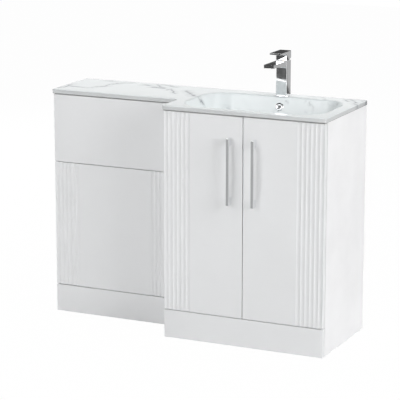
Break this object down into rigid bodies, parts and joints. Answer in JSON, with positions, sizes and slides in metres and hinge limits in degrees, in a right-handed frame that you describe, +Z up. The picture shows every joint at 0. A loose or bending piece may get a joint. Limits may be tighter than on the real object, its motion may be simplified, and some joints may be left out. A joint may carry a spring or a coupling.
{
  "type": "vanity unit",
  "caption": "Two door vanity cupboard with a shallower back to wall cupboard beside it, under one L-shaped basin top with a mixer tap.",
  "frame": {"origin": "floor level under the middle of the outline", "axes": "+X to the right along the front, +Y back to the wall, +Z up"},
  "size_m": [1.116, 0.418, 0.992],
  "materials": {
    "fronts": "white satin wrapped fibreboard",
    "boards": "white faced particle board",
    "cast_marble": "polished white cast marble with grey veins",
    "polished_chrome": "polished chrome plate",
    "handle_metal": "satin chrome",
    "hinge_steel": "nickel plated pressed steel",
    "zinc_steel": "zinc plated",
    "bare_brass": "machined",
    "white_plastic": "moulded",
    "soft_rubber": "soft moulded"
  },
  "bodies": {
    "cabinet": {"vanity_plinth": "fronts", "wc_lower_panel": "fronts", "wc_plinth": "fronts", "wc_infill_strip": "fronts", "vanity_left_side": "boards", "vanity_right_side": "boards", "vanity_base_panel": "boards", "vanity_front_rail": "boards", "vanity_back_rail": "boards", "vanity_lower_back_rail": "boards", "vanity_shelf": "boards", "wc_left_side": "boards", "wc_right_side": "boards", "wc_top_rail": "boards", "wc_middle_rail": "boards", "wc_bottom_rail": "boards", "wc_back_rail": "boards", "basin_top": "cast_marble", "tap_body": "polished_chrome", "tap_foot_ring": "polished_chrome", "overflow_ring": "polished_chrome", "waste_body": "polished_chrome", "left_hinge_arms": "hinge_steel", "left_hinge_plates": "hinge_steel", "right_hinge_arms": "hinge_steel", "right_hinge_plates": "hinge_steel", "wall_brackets": "zinc_steel", "plinth_brackets": "zinc_steel", "panel_brackets": "zinc_steel", "shelf_pins": "zinc_steel", "tap_stud": "zinc_steel", "tap_clamp_plate": "zinc_steel", "tap_fixing_nut": "bare_brass", "tap_cartridge": "white_plastic", "tap_aerator": "white_plastic", "panel_clip_sockets": "white_plastic", "waste_nut": "white_plastic", "waste_click_socket": "white_plastic", "waste_seal": "soft_rubber", "door_buffers": "soft_rubber"},
    "left_door": {"left_door": "fronts", "left_handle": "handle_metal", "left_hinge_cups": "hinge_steel"},
    "left_hinge": {"left_hinge_links": "hinge_steel"},
    "right_door": {"right_door": "fronts", "right_handle": "handle_metal", "right_hinge_cups": "hinge_steel"},
    "right_hinge": {"right_hinge_links": "hinge_steel"},
    "access_panel": {"wc_upper_panel": "fronts", "panel_clip_pegs": "white_plastic"},
    "basin_plug": {"waste_plug": "polished_chrome"},
    "tap_turret": {"tap_cartridge_core": "white_plastic"},
    "tap_lever": {"tap_lever": "polished_chrome", "tap_spindle": "bare_brass", "tap_grub_screw": "zinc_steel"}
  },
  "joints": [
    {"name": "left_hinge_turn", "type": "hinge", "parent": "cabinet", "child": "left_hinge", "pos_m": [-0.006, -0.157, 0.4325], "axis": [0, 0, -1], "range_deg": [-20, 0]},
    {"name": "left_door_swing", "type": "hinge", "parent": "left_hinge", "child": "left_door", "pos_m": [-0.0362, -0.16675, 0.4325], "axis": [0, 0, -1], "range_deg": [0, 120]},
    {"name": "right_hinge_turn", "type": "hinge", "parent": "cabinet", "child": "right_hinge", "pos_m": [0.514, -0.157, 0.4325], "axis": [0, 0, 1], "range_deg": [-20, 0]},
    {"name": "right_door_swing", "type": "hinge", "parent": "right_hinge", "child": "right_door", "pos_m": [0.5442, -0.16675, 0.4325], "axis": [0, 0, 1], "range_deg": [0, 120]},
    {"name": "access_panel_pull", "type": "slide", "parent": "cabinet", "child": "access_panel", "axis": [0, -1, 0], "range_m": [0, 0.06]},
    {"name": "plug_lift", "type": "slide", "parent": "cabinet", "child": "basin_plug", "axis": [0, 0, 1], "range_m": [0, 0.008]},
    {"name": "tap_temperature", "type": "hinge", "parent": "cabinet", "child": "tap_turret", "pos_m": [0.254, 0.17, 0.955], "axis": [0, 0, 1], "range_deg": [-45, 45]},
    {"name": "tap_flow", "type": "hinge", "parent": "tap_turret", "child": "tap_lever", "pos_m": [0.254, 0.17, 0.955], "axis": [-1, 0, 0], "range_deg": [0, 18]}
  ],
  "couplings": [
    {"joint": "left_hinge_turn", "follows": "left_door_swing", "ratio": -0.1666},
    {"joint": "right_hinge_turn", "follows": "right_door_swing", "ratio": -0.1666}
  ]
}
